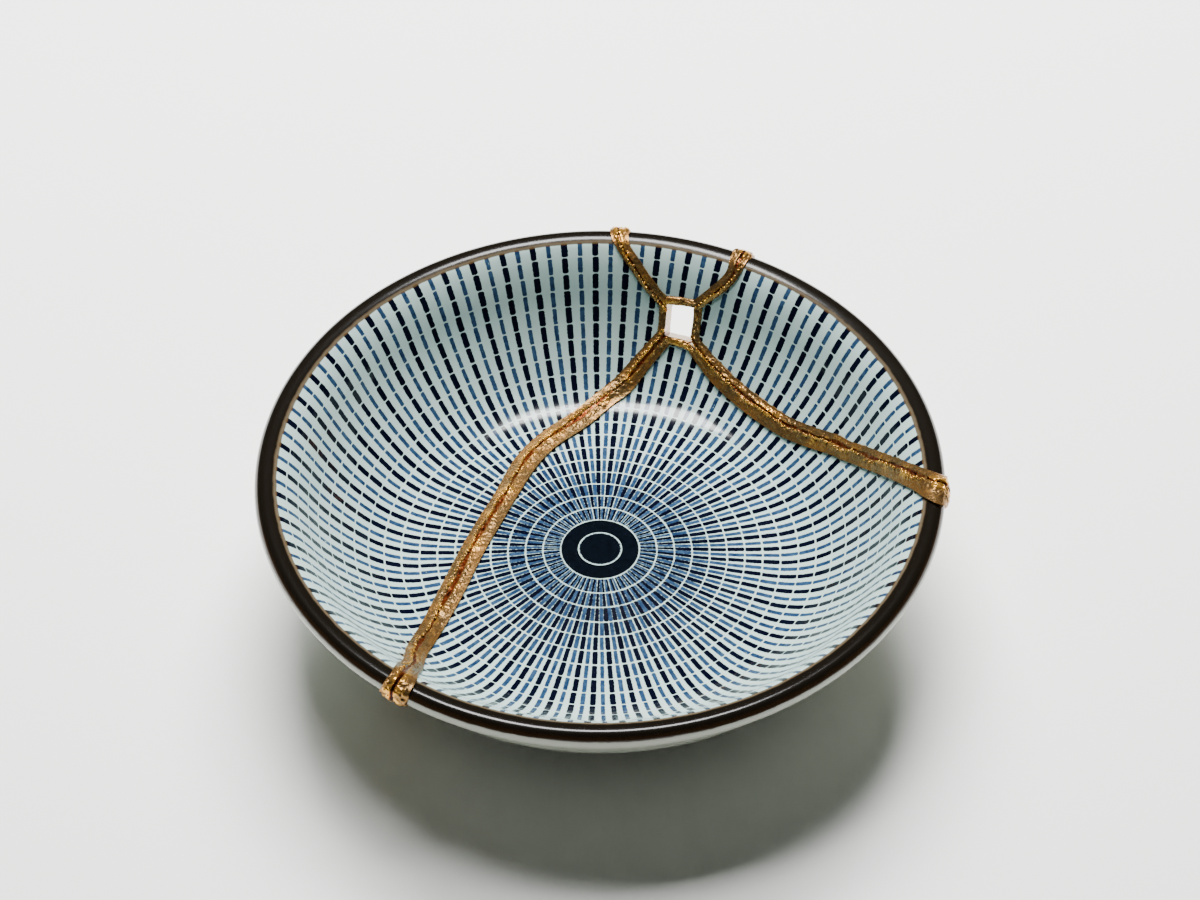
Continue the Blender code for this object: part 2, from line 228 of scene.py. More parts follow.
def whole_skin():
    """Half section of the bowl as points, with the run up to the lip's top and up to the foot ring."""
    share, inside, normals = inside_table()
    outside = outside_of(share, inside, normals)
    top, facing = inside[-1], normals[-1]
    middle = top - 0.5 * LIP_THICK * facing
    lean = math.degrees(math.atan2(facing[1], facing[0]))
    lip = arc(middle, lean, lean - 180.0, 0.5 * LIP_THICK, 48)[1:-1]
    meet = float(np.interp(FOOT_RADIUS, outside[:, 0], share))
    ceiling = float(np.interp(meet, share, outside[:, 1]))
    lowest = meet + 2.0 * FOOT_FILLET / np.linalg.norm(np.diff(inside, axis=0), axis=1).sum()
    wall = outside[(share > lowest) & (share < LIP_TURN_FROM)][::-1]
    sole = ceiling - FOOT_HEIGHT
    inner = FOOT_RADIUS - FOOT_WIDTH
    foot = [
        arc(np.array([FOOT_RADIUS + FOOT_FILLET, ceiling - FOOT_FILLET]), 90.0, 180.0, FOOT_FILLET),
        arc(np.array([FOOT_RADIUS - SOLE_EDGE, sole + SOLE_EDGE]), 0.0, -90.0, SOLE_EDGE),
        arc(np.array([inner + SOLE_EDGE, sole + SOLE_EDGE]), -90.0, -180.0, SOLE_EDGE),
        arc(np.array([inner - FOOT_FILLET, ceiling - FOOT_FILLET]), 0.0, 90.0, FOOT_FILLET),
        np.array([[0.0, ceiling]]),
    ]
    points = np.concatenate([inside, lip, wall] + foot)
    points[:, 1] -= sole
    floor_level = -sole
    spread = np.concatenate([[0.0], np.cumsum(np.linalg.norm(np.diff(points, axis=0), axis=1))])
    even = np.linspace(0.0, spread[-1], int(spread[-1] / SKIN_STEP) + 1)
    smooth = np.stack([np.interp(even, spread, points[:, 0]), np.interp(even, spread, points[:, 1])], axis=1)
    marks = {"lip_top": spread[len(inside) - 1], "lip_out": spread[len(inside) + len(lip)],
             "foot": spread[len(inside) + len(lip) + len(wall)]}
    return even, smooth, floor_level, marks


SKIN_RUN, SKIN, FLOOR_LEVEL, MARKS = whole_skin()
SKIN_NORMAL = normals_along(SKIN)
RUN_LENGTH = MARKS["lip_top"]
SOLE_RUN = float(SKIN_RUN[SKIN[:, 1] < 1e-6].mean())


def on_skin(azimuth, run, height):
    """Points over the skin: azimuth in radians, run along the half section and height off the surface."""
    run = np.clip(run, 0.0, SKIN_RUN[-1])
    radius, level, out, up = (np.interp(run, SKIN_RUN, column) for column in (*SKIN.T, *SKIN_NORMAL.T))
    size = np.hypot(out, up)
    radius = radius + height * out / size
    level = level + height * up / size
    return np.stack([radius * np.cos(azimuth), radius * np.sin(azimuth), level], axis=-1)


def skin_radius(run):
    """Distance from the axis at a run."""
    return np.interp(run, SKIN_RUN, SKIN[:, 0])


def row_runs():
    """Run in mm at which each row of dashes ends, from the middle outwards."""
    row = np.arange(0, ROWS + 1)
    runs = ROW_START + ROW_PITCH * row + HAUNCH_STRETCH * np.exp(-((row - HAUNCH_ROW) / HAUNCH_ROWS) ** 2)
    runs[0] = 0.0
    runs[-1] -= LAST_ROW_SHORT
    return runs


def wander(points, size, seed):
    """Smooth noise between about -1 and 1 at each point, with features of that size."""
    shift = Vector((17.3 * seed, -9.1 * seed, 4.7 * seed))
    return np.array([noise.noise(Vector(point) / size + shift) for point in points])


# Mesh helpers

def linked(name, data):
    """A new object of this data, linked to the scene."""
    made = bpy.data.objects.new(name, data)
    bpy.context.collection.objects.link(made)
    return made


def mesh_object(name, vertices, faces, look=None):
    """A new smooth-shaded object of these faces, turned outwards and linked to the scene."""
    mesh = bpy.data.meshes.new(name)
    mesh.from_pydata([tuple(vertex) for vertex in vertices], [], faces)
    form = bmesh.new()
    form.from_mesh(mesh)
    bmesh.ops.recalc_face_normals(form, faces=form.faces)
    form.to_mesh(mesh)
    form.free()
    if look:
        mesh.materials.append(look)
    mesh.shade_smooth()
    return linked(name, mesh)


def remove(*objects):
    """Removes helper objects."""
    for one in objects:
        bpy.data.objects.remove(one, do_unlink=True)


def boolean(target, other, operation):
    """Adds one Boolean to an object."""
    modifier = target.modifiers.new(other.name, 'BOOLEAN')
    modifier.operation = operation
    modifier.solver = 'MANIFOLD'
    modifier.object = other


def applied(source):
    """The object's mesh with its modifiers applied, in triangles."""
    depsgraph = bpy.context.evaluated_depsgraph_get()
    mesh = bpy.data.meshes.new_from_object(source.evaluated_get(depsgraph))
    form = bmesh.new()
    form.from_mesh(mesh)
    bmesh.ops.triangulate(form, faces=form.faces)
    form.to_mesh(mesh)
    form.free()
    return mesh


def plain(name, source, *helpers):
    """A plain object of the source with its modifiers applied. The source and its helpers are removed."""
    mesh = applied(source)
    remove(source, *helpers)
    return linked(name, mesh)


def positions(mesh):
    """The mesh's vertices as an array."""
    flat = np.empty(3 * len(mesh.vertices), np.float32)
    mesh.vertices.foreach_get("co", flat)
    return flat.reshape(-1, 3).astype(float)


def store(mesh, name, values):
    """Stores a number for each vertex."""
    mesh.attributes.new(name, 'FLOAT', 'POINT').data.foreach_set("value", np.asarray(values, np.float32))


def split(mesh):
    """The mesh's separate bodies, each as its corners and the faces between them."""
    form = bmesh.new()
    form.from_mesh(mesh)
    left = {face: True for face in form.faces}
    bodies = []
    while left:
        reached = [left.popitem()[0]]
        corners, faces = {}, []
        while reached:
            face = reached.pop()
            faces.append([corners.setdefault(vertex, len(corners)) for vertex in face.verts])
            for edge in face.edges:
                for other in edge.link_faces:
                    if other in left:
                        del left[other]
                        reached.append(other)
        bodies.append((np.array([vertex.co for vertex in corners]), faces))
    form.free()
    return bodies


# Cutters, as in the CAD model

def on_inside(azimuth, share):
    """Point of the inside surface at an azimuth in degrees and a share of the run."""
    return Vector(on_skin(math.radians(azimuth), share * RUN_LENGTH, 0.0))


def through_wall(point):
    """Direction in which a crack runs through the wall at a point of the inside."""
    return (point - Vector((0.0, 0.0, FLOOR_LEVEL + FOCUS_HEIGHT))).normalized()


def crack_line(points, steps):
    """Smooth line through a crack's points, as azimuth in radians, share of the run and width share."""
    turn = np.radians([azimuth for azimuth, _, _ in points])
    share = np.array([share for _, share, _ in points])
    flat = np.stack([share * np.cos(turn), share * np.sin(turn), [width for _, _, width in points]], axis=1)
    flat = np.concatenate([2.0 * flat[:1] - flat[1:2], flat, 2.0 * flat[-1:] - flat[-2:-1]])
    line = []
    for before, start, end, after in zip(flat, flat[1:], flat[2:], flat[3:]):
        for t in np.arange(steps) / steps:
            line.append(0.5 * (2.0 * start + (end - before) * t
                               + (2.0 * before - 5.0 * start + 4.0 * end - after) * t ** 2
                               + (3.0 * start - before - 3.0 * end + after) * t ** 3))
    line = np.array(line + [flat[-2]])
    return np.unwrap(np.arctan2(line[:, 1], line[:, 0])), np.hypot(line[:, 0], line[:, 1]), line[:, 2]


def ribbon(name, points, width):
    """Cutter along a crack, from above the glaze to below the foot, on past the rim."""
    azimuths, shares, widths = crack_line(points, 4)
    route = [(on_inside(math.degrees(a), min(s, 1.0)), w) for a, s, w in zip(azimuths, shares, widths)]
    end, last = route[-1]
    route.append((end + 2.0 * LIP_THICK * (end - route[-2][0]).normalized(), last))
    vertices = []
    for index, (point, share) in enumerate(route):
        before = route[max(index - 1, 0)][0]
        after = route[min(index + 1, len(route) - 1)][0]
        depth = through_wall(point)
        side = (after - before).cross(depth).normalized() * (0.5 * width * share)
        for corner, reach in ((-side, -CUT_OVER), (side, -CUT_OVER), (side, CUT_UNDER), (-side, CUT_UNDER)):
            vertices.append(point + corner + reach * depth)
    faces = [(0, 1, 2, 3)]
    for index in range(len(route) - 1):
        low, high = 4 * index, 4 * index + 4
        faces += [(low + a, low + (a + 1) % 4, high + (a + 1) % 4, high + a) for a in range(4)]
    end = 4 * (len(route) - 1)
    faces.append((end, end + 1, end + 2, end + 3))
    return mesh_object(name, vertices, faces)


def hole_outline(border, steps):
    """The lost fragment's outline as sideways and run offsets, with a border around it."""
    corners = [np.array([HOLE_WIDTH * x, HOLE_HEIGHT * y]) for x, y in HOLE_CORNERS]
    outline = []
    for before, corner, after in zip(corners[-1:] + corners[:-1], corners, corners[1:] + corners[:1]):
        left = (corner - before) / np.linalg.norm(corner - before)
        right = (after - corner) / np.linalg.norm(after - corner)
        normal = np.array([-left[1] - right[1], left[0] + right[0]])
        normal /= np.linalg.norm(normal)
        reach = min(1.0 / abs(float(np.dot(normal, [-left[1], left[0]]))), 1.6)
        outline.append(corner - border * reach * normal)
    points = [corner + (after - corner) * step / steps
              for corner, after in zip(outline, outline[1:] + outline[:1]) for step in range(steps)]
    return np.array(points)


def around_hole(offsets):
    """Azimuth in radians and run of offsets from the middle of the lost fragment's gap."""
    middle = HOLE_SHARE * RUN_LENGTH
    return math.radians(HOLE_AZIMUTH) + offsets[:, 0] / skin_radius(middle), middle + offsets[:, 1]


def hole_prism(name, border, wobble=0.0):
    """Cutter of the lost fragment's outline, with a border around it."""
    azimuth, run = around_hole(hole_outline(border, 10))
    points = [Vector(point) for point in on_skin(azimuth, run, 0.0)]
    if wobble:
        shake = wobble * wander(points, 1.6 * MM, 3)
        middle = on_inside(HOLE_AZIMUTH, HOLE_SHARE)
        points = [point + float(push) * (point - middle).normalized() for point, push in zip(points, shake)]
    vertices = [point + reach * through_wall(point) for reach in (-CUT_OVER, CUT_UNDER) for point in points]
    count = len(points)
    faces = [tuple(range(count)), tuple(range(2 * count - 1, count - 1, -1))]
    faces += [(a, (a + 1) % count, count + (a + 1) % count, count + a) for a in range(count)]
    return mesh_object(name, vertices, faces)


CRACKS = (("left_rim", LEFT_RIM_CRACK, FINE_SEAM_WIDTH), ("right_rim", RIGHT_RIM_CRACK, FINE_SEAM_WIDTH),
          ("long", LONG_CRACK, SEAM_WIDTH), ("side", SIDE_CRACK, SEAM_WIDTH))


def crack_cutter(name, width, border):
    """One cutter for all four cracks and the lost fragment, of one width or of each seam's own."""
    whole = hole_prism(name, border)
    helpers = []
    for crack, points, seam_width in CRACKS:
        helpers.append(ribbon(f"{name}_{crack}", points, width or seam_width))
        boolean(whole, helpers[-1], 'UNION')
    return plain(name, whole, *helpers)


def turned(name, run, segments, wobble=None, grow=0.0):
    """A solid turned from the skin at these runs, closed on the axis at both ends."""
    turn = 2.0 * math.pi * np.arange(segments) / segments
    azimuth, along = np.meshgrid(turn, run[1:-1])
    azimuth, along = azimuth.ravel(), along.ravel()

    def surface(turns, runs):
        return on_skin(turns, runs, grow - wobble(on_skin(turns, runs, 0.0)) if wobble else grow)

    pole = np.zeros(1)
    vertices = np.concatenate([surface(pole, run[:1]), surface(azimuth, along), surface(pole, run[-1:])])
    rings, last = len(run) - 2, len(vertices) - 1
    faces = []
    for step in range(segments):
        following = (step + 1) % segments
        faces.append((0, 1 + step, 1 + following))
        faces.append((last, 1 + (rings - 1) * segments + following, 1 + (rings - 1) * segments + step))
        for ring in range(rings - 1):
            low, high = 1 + ring * segments, 1 + (ring + 1) * segments
            faces.append((low + step, high + step, high + following, low + following))
    return mesh_object(name, vertices, faces)


def spaced(start, end, step):
    """Even runs from start up to but not including end."""
    return np.linspace(start, end, max(2, round((end - start) / step)), endpoint=False)


def turning_runs(coarse=1.0):
    """Runs of the rings, close together on the inside and the lip."""
    lip, out, foot, end = RUN_LENGTH - LIP_ZONE, MARKS["lip_out"], MARKS["foot"], SKIN_RUN[-1]
    foot_end = foot + 2.0 * FOOT_HEIGHT + FOOT_WIDTH + FOOT_FILLET
    stretches = ((0.0, lip, INSIDE_STEP), (lip, out, LIP_STEP), (out, foot, OUTSIDE_STEP),
                 (foot, foot_end, LIP_STEP), (foot_end, end, 2.0 * OUTSIDE_STEP))
    return np.concatenate([spaced(start, stop, step * coarse) for start, stop, step in stretches] + [[end]])


# Shards

def throwing_marks(points):
    """How far the hand-thrown surface lies under the true one."""
    slow = wander(points * np.array([1.0, 1.0, 2.0]), 34.0 * MM, 1)
    fine = wander(points * np.array([1.0, 1.0, 3.0]), 9.0 * MM, 2)
    return 0.10 * MM + 0.07 * MM * slow + 0.02 * MM * fine


def nearest(points, places):
    """Number of the place nearest to each point, and how far off it is."""
    tree = KDTree(len(places))
    for index, place in enumerate(places):
        tree.insert(place, index)
    tree.balance()
    found = [tree.find(point) for point in points]
    return [hit[1] for hit in found], np.array([hit[2] for hit in found])


def nearest_run(points):
    """Run of the nearest skin point, and how far off the skin each point is."""
    section = np.stack([np.hypot(points[:, 0], points[:, 1]), points[:, 2], np.zeros(len(points))], axis=1)
    index, off = nearest(section, np.pad(SKIN, ((0, 0), (0, 1))))
    return SKIN_RUN[index], off


def dash_lane(tree, azimuth, radius, row, phase, half_width, half_length, rag):
    """Mask of one set of brush dashes, and each dash's own three random numbers."""
    turn = add(tree, MATH, 'MULTIPLY_ADD', azimuth, SPOKES / (2.0 * math.pi),
               -0.25 * SPOKES + phase - SPOKE_TURN * SPOKES / 360.0)
    lane_mm = add(tree, MATH, 'MULTIPLY', radius, 2.0 * math.pi / SPOKES)
    cell, off = [], []
    for place, pitch in ((turn, lane_mm), (row, ROW_PITCH)):
        cell.append(add(tree, MATH, 'FLOOR', place))
        centred = add(tree, MATH, 'SUBTRACT', add(tree, MATH, 'FRACT', place), 0.5)
        off.append(add(tree, MATH, 'MULTIPLY', centred, pitch))
    dash = add(tree, "ShaderNodeCombineXYZ", None, *cell, phase)
    chance = add(tree, "ShaderNodeTexWhiteNoise", {"noise_dimensions": '3D'}, dash)
    chances = add(tree, "ShaderNodeSeparateColor", None, chance.outputs["Color"])
    # A brush dash sits a little off its lane, and no two are equally wide or long
    shift = add(tree, MATH, 'MULTIPLY_ADD', chances.outputs[0], 2.0 * DASH_OFF, -DASH_OFF)
    off[0] = add(tree, MATH, 'ADD', off[0], shift)
    change = add(tree, MATH, 'MULTIPLY_ADD', chances.outputs[1], 2.0 * DASH_VARIES, 1.0 - DASH_VARIES)
    own_half = add(tree, MATH, 'MULTIPLY', half_width, change)
    own_length = add(tree, MATH, 'MULTIPLY_ADD', chances.outputs[2], 0.14, half_length - 0.10)
    # Distance from the box between the middles of the round corners
    corner = add(tree, MATH, 'MULTIPLY', own_half, DASH_CORNER)
    past = []
    for place, half in zip(off, (own_half, own_length)):
        core = add(tree, MATH, 'SUBTRACT', half, corner)
        over = add(tree, MATH, 'SUBTRACT', add(tree, MATH, 'ABSOLUTE', place), core)
        past.append(add(tree, MATH, 'MAXIMUM', over, 0.0))
    reach = add(tree, "ShaderNodeVectorMath", 'LENGTH', add(tree, "ShaderNodeCombineXYZ", None, *past))
    distance = add(tree, MATH, 'SUBTRACT', reach.outputs["Value"], corner)
    return step_mask(tree, add(tree, MATH, 'ADD', distance, rag), DASH_EDGE, -DASH_EDGE), chances


def step_mask(tree, value, start, end):
    """0 before start and 1 after end, with a soft change between them."""
    return add(tree, MAP, {"interpolation_type": 'SMOOTHSTEP'}, value, start, end, 0.0, 1.0)


def layer(tree, mask, below, above):
    """Paints one colour over another where the mask is 1."""
    mix = add(tree, "ShaderNodeMix", {"data_type": 'RGBA'}, Factor=mask)
    for index, colour in ((6, below), (7, above)):
        if isinstance(colour, bpy.types.Node):
            colour = colour.outputs[2] if colour.bl_idname == "ShaderNodeMix" else colour.outputs[0]
        if isinstance(colour, bpy.types.NodeSocket):
            tree.links.new(colour, mix.inputs[index])
        else:
            mix.inputs[index].default_value = colour
    return mix


def new_material(name):
    """A new material, its node tree and its shader."""
    look = bpy.data.materials.new(name)
    look.use_nodes = True
    return look, look.node_tree, look.node_tree.nodes["Principled BSDF"]


def glazed_stoneware(paint):
    """Porcelain-like stoneware under a clear glaze: pale blue-green body colour, cobalt dashes painted under
    the glaze, an iron-brown band over the lip, and an unglazed sole."""
    look, tree, shader = new_material("glazed_stoneware")
    spot = add(tree, "ShaderNodeTexCoord").outputs["Object"]
    parts = add(tree, "ShaderNodeSeparateXYZ", None, spot)
    azimuth = add(tree, MATH, 'ARCTAN2', parts.outputs[1], parts.outputs[0])
    level = add(tree, "ShaderNodeCombineXYZ", None, parts.outputs[0], parts.outputs[1])
    reach = add(tree, "ShaderNodeVectorMath", 'LENGTH', level)
    radius = add(tree, MATH, 'MULTIPLY', reach.outputs["Value"], 1.0 / MM)
    run, row, broken = [add(tree, "ShaderNodeAttribute", {"attribute_name": name}).outputs["Fac"]
                        for name in ("run", "row", "broken")]

    # Ragged brush edges, features of about 0.5 mm
    grain = add(tree, NOISE, None, Vector=spot, Scale=1800.0, Detail=2.0)
    rag = add(tree, MATH, 'MULTIPLY_ADD', grain.outputs[0], 2.0 * RAGGED, -RAGGED)
    # The dashes fill most of their lanes near the middle, and widen only a little from there to the rim
    lane_half = add(tree, MATH, 'MULTIPLY', radius, LANE_SHARE * math.pi / SPOKES)
    dashes = []
    for phase, widening, widest, length in DASHES:
        most = add(tree, MATH, 'MULTIPLY_ADD', radius, widening, widest)
        half = add(tree, MATH, 'MINIMUM', lane_half, most)
        dashes.append(dash_lane(tree, azimuth, radius, row, phase, half, length, rag))
    (navy, navy_chance), (blue, _) = dashes

    # Bristle streaks in the blue dashes, about 0.35 mm wide and several mm long
    streak_place = add(tree, "ShaderNodeCombineXYZ", None,
                       add(tree, MATH, 'MULTIPLY', azimuth, 190.0),
                       add(tree, MATH, 'MULTIPLY', run, 0.5), radius)
    streaks = add(tree, NOISE, None, Vector=streak_place, Scale=1.0, Detail=1.0)
    thin = add(tree, MAP, None, radius, 22.0, 60.0, 0.18, 0.20)
    bristle_above = add(tree, MATH, 'SUBTRACT', streaks.outputs[0], thin)
    bristles = step_mask(tree, bristle_above, -0.05, 0.06)
    blue_mask = add(tree, MATH, 'MULTIPLY', blue, bristles)

    # Glaze colour, cloudier and greyer by patches, with fine specks
    clouds = add(tree, NOISE, None, Vector=spot, Scale=60.0, Detail=3.0)
    body = layer(tree, clouds.outputs[0], linear(paint.glaze_cool), linear(paint.glaze_warm))
    specks = add(tree, NOISE, None, Vector=spot, Scale=900.0, Detail=2.0)
    speck_mask = add(tree, MAP, None, specks.outputs[0], 0.58, 0.80, 0.0, 0.30)
    body = layer(tree, speck_mask, body, linear(SPECK_GREY))

    # Cobalt: thin where the brush ran dry, dark where it pooled
    wash = add(tree, NOISE, None, Vector=spot, Scale=700.0, Detail=2.0)
    wash_part = add(tree, MAP, None, wash.outputs[0], 0.3, 0.7, 0.0, 1.0)
    blue_colour = layer(tree, wash_part, linear(paint.blue), linear(paint.blue_deep))
    navy_colour = layer(tree, navy_chance.outputs[0], linear(paint.navy), linear(NAVY_POOLED))
    painted = layer(tree, blue_mask, body, blue_colour)
    painted = layer(tree, navy, painted, navy_colour)

    # The middle: a navy disc with one pale ring in it
    disc = step_mask(tree, run, *DISC_EDGE)
    ring = add(tree, MATH, 'COMPARE', run, *PALE_RING)
    disc_mask = add(tree, MATH, 'SUBTRACT', disc, ring)
    disc_clear = add(tree, MATH, 'MAXIMUM', disc_mask, 0.0)
    middle_colour = layer(tree, wash_part, *map(linear, MIDDLE_NAVY))
    painted = layer(tree, disc_clear, painted, middle_colour)

    # The iron band: thin and brown on its inner edge, black over the lip, rusty on its lower edge outside
    edge_shake = add(tree, NOISE, None, Vector=spot, Scale=350.0, Detail=2.0)
    band_run = add(tree, MATH, 'MULTIPLY_ADD', edge_shake.outputs[0], 0.5, run)
    inner, outer = paint.band_inner / MM, paint.band_outer / MM
    band_in, band_dark, band_rust, band_out = [step_mask(tree, band_run, start, end) for start, end in (
        (inner, inner + 0.35), (inner + 0.6, inner + 1.5), (outer - 1.4, outer - 0.2), (outer, outer + 0.4))]
    band_colour = layer(tree, band_dark, linear(paint.band_thin), linear(paint.band))
    band_colour = layer(tree, band_rust, band_colour, linear(paint.band_rust))
    thin_mask = add(tree, MATH, 'MULTIPLY', band_in, 0.94)
    banded = layer(tree, thin_mask, painted, linear(paint.band_thin))
    banded = layer(tree, band_dark, banded, band_colour)
    outside = layer(tree, clouds.outputs[0], linear(paint.outside), linear(paint.outside_warm))
    banded = layer(tree, band_out, banded, outside)

    # Unglazed clay: the sole of the foot ring, and the broken faces inside the cracks
    sole = add(tree, MATH, 'COMPARE', run, SOLE_RUN / MM, 0.5 * FOOT_WIDTH / MM + 0.3)
    bare = add(tree, MATH, 'MAXIMUM', sole, broken)
    clay = layer(tree, specks.outputs[0], *map(linear, CLAY))
    final = layer(tree, bare, banded, clay)
    tree.links.new(final.outputs[2], shader.inputs["Base Color"])

    gloss = add(tree, MAP, None, clouds.outputs[0], 0.3, 0.7, 0.09, 0.13)
    on_band = add(tree, MATH, 'SUBTRACT', band_in, band_out)
    with_band = add(tree, "ShaderNodeMix", {"data_type": 'FLOAT'}, on_band, None, gloss, 0.18)
    rough = add(tree, "ShaderNodeMix", {"data_type": 'FLOAT'}, bare, None, with_band, 0.8)
    tree.links.new(rough.outputs[0], shader.inputs["Roughness"])
    ripple = add(tree, NOISE, None, Vector=spot, Scale=220.0, Detail=3.0)
    bump = add(tree, "ShaderNodeBump", None, Strength=0.12, Distance=0.0002, Height=ripple.outputs[0])
    tree.links.new(bump.outputs[0], shader.inputs["Normal"])
    shader.inputs["IOR"].default_value = 1.5
    return look


class ShardSettings(bpy.types.PropertyGroup):
    """Glaze and paint of the shards."""
    glaze_cool: StringProperty(name="Glaze, cool", description="Cool tone of the glaze, sRGB hex",
                               default="9BB6B3")
    glaze_warm: StringProperty(name="Glaze, warm", description="Warm tone of the glaze, sRGB hex",
                               default="A7BCB4")
    navy: StringProperty(name="Navy", description="Dark dashes, sRGB hex", default="030412")
    blue: StringProperty(name="Blue", description="Thin wash of the blue dashes, sRGB hex",
                         default="2A425C")
    blue_deep: StringProperty(name="Deep blue", description="Pooled wash of the blue dashes, sRGB hex",
                              default="12243E")
    band: StringProperty(name="Band", description="Iron-brown band over the lip, sRGB hex",
                         default="0E0B07")
    band_thin: StringProperty(name="Band, thin", description="Inner edge of the band, sRGB hex",
                              default="46351F")
    band_rust: StringProperty(name="Band, rust", description="Lower edge of the band, sRGB hex",
                              default="2A1B0B")
    outside: StringProperty(name="Outside", description="Cool tone of the plain outside, sRGB hex",
                            default="9DA598")
    outside_warm: StringProperty(name="Outside, warm", description="Warm tone of the outside, sRGB hex",
                                 default="A9AC9E")
    band_inner: FloatProperty(name="Band, inner edge", description="Run where the band starts",
                              default=0.0864, unit='LENGTH')
    band_outer: FloatProperty(name="Band, outer edge", description="Run where the band ends outside",
                              default=0.0924, unit='LENGTH')


class MESH_OT_kintsugi_shards(bpy.types.Operator):
    """Turns the bowl, breaks it along its cracks and glazes the four shards"""
    bl_idname = "mesh.kintsugi_shards"
    bl_label = "Shards"

    def execute(self, context):
        look = glazed_stoneware(context.scene.kintsugi_shards)
        bowl = turned("whole_bowl", turning_runs(), SEGMENTS, throwing_marks)
        gap = crack_cutter("gap_cutter", SEAM_WEB + 2.0 * CLEARANCE, SEAM_WEB + CLEARANCE)
        boolean(bowl, gap, 'DIFFERENCE')
        bodies = split(applied(bowl))
        remove(bowl, gap)
        for name, middle in SHARD_MIDDLES:
            corners, faces = min(
                bodies, key=lambda one: abs(math.remainder(rim_azimuth(one[0]) - middle, 360.0)))
            shard = mesh_object(f"glazed_{name}", corners, faces, look)
            shard.data.set_sharp_from_angle(angle=math.radians(38.0))
            run, off = nearest_run(corners)
            store(shard.data, "run", run / MM)
            store(shard.data, "row", np.interp(run / MM, row_runs(), np.arange(ROWS + 1)))
            store(shard.data, "broken", np.clip((off - 0.35 * MM) / (0.1 * MM), 0.0, 1.0))
            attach(shard, "root")
            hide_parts(name)
        return {'FINISHED'}


def rim_azimuth(corners):
    """Mean azimuth in degrees of a body's highest points, which lie on the lip."""
    top = corners[corners[:, 2] > corners[:, 2].max() - 0.5 * LIP_THICK].sum(axis=0)
    return math.degrees(math.atan2(top[1], top[0]))


# Gold

def seam_path(points, step):
    """Azimuth, run, width share and length along a seam, from the gap over the lip and a little way down."""
    azimuth, share, width = crack_line(points, 24)
    run = share * RUN_LENGTH
    azimuth = np.append(azimuth, azimuth[-1] + 0.4 * (azimuth[-1] - azimuth[-4]))
    run = np.append(run, MARKS["lip_out"] + SEAM_OUTSIDE)
    width = np.append(width, width[-1])
    places = on_skin(azimuth, run, 0.0)
    length = np.concatenate([[0.0], np.cumsum(np.linalg.norm(np.diff(places, axis=0), axis=1))])
    length[-1] = length[-2] + run[-1] - run[-2]
    even = np.arange(0.0, length[-1], step)
    return (*(np.interp(even, length, values) for values in (azimuth, run, width)), even)


def sweep(name, azimuth, run, half_left, half_right, height_of, columns, closed=False):
    """A closed band over the skin. height_of gives its height at across (-1 to 1), section and point."""
    if closed:
        d_run = np.roll(run, -1) - np.roll(run, 1)
        d_turn = np.roll(azimuth, -1) - np.roll(azimuth, 1)
    else:
        d_run = np.gradient(run)
        d_turn = np.gradient(azimuth)
    d_side = skin_radius(run) * d_turn
    size = np.hypot(d_run, d_side)
    side_run, side_turn = d_side / size, -d_run / size
    even = np.linspace(-1.0, 1.0, columns)
    across = 0.35 * np.sin(0.5 * math.pi * even) + 0.65 * even
    half = np.where(across[None, :] < 0.0, half_left[:, None], half_right[:, None])
    offset = across[None, :] * half
    runs = run[:, None] + offset * side_run[:, None]
    turns = azimuth[:, None] + offset * side_turn[:, None] / skin_radius(runs)
    flat = on_skin(turns.ravel(), runs.ravel(), 0.0)
    section_of = np.repeat(np.arange(len(run)), columns)
    height = height_of(np.broadcast_to(across, runs.shape).ravel(), section_of, flat)
    top = on_skin(turns.ravel(), runs.ravel(), height)
    # The hidden underside has only its two edges
    under = on_skin(turns[:, [0, -1]].ravel(), runs[:, [0, -1]].ravel(), -SUNK)
    count, sections, last = len(top), len(run), columns - 1
    faces = []
    for section in range(sections if closed else sections - 1):
        following = (section + 1) % sections
        near, far = section * columns, following * columns
        low, high = count + 2 * section, count + 2 * following
        for column in range(last):
            faces.append((near + column, near + column + 1, far + column + 1, far + column))
        faces += [(near, far, high, low), (near + last, low + 1, high + 1, far + last),
                  (low, high, high + 1, low + 1)]
    if not closed:
        for section in (0, sections - 1):
            faces.append([section * columns + column for column in range(columns)]
                         + [count + 2 * section + 1, count + 2 * section])
    return mesh_object(name, np.concatenate([top, under]), faces)


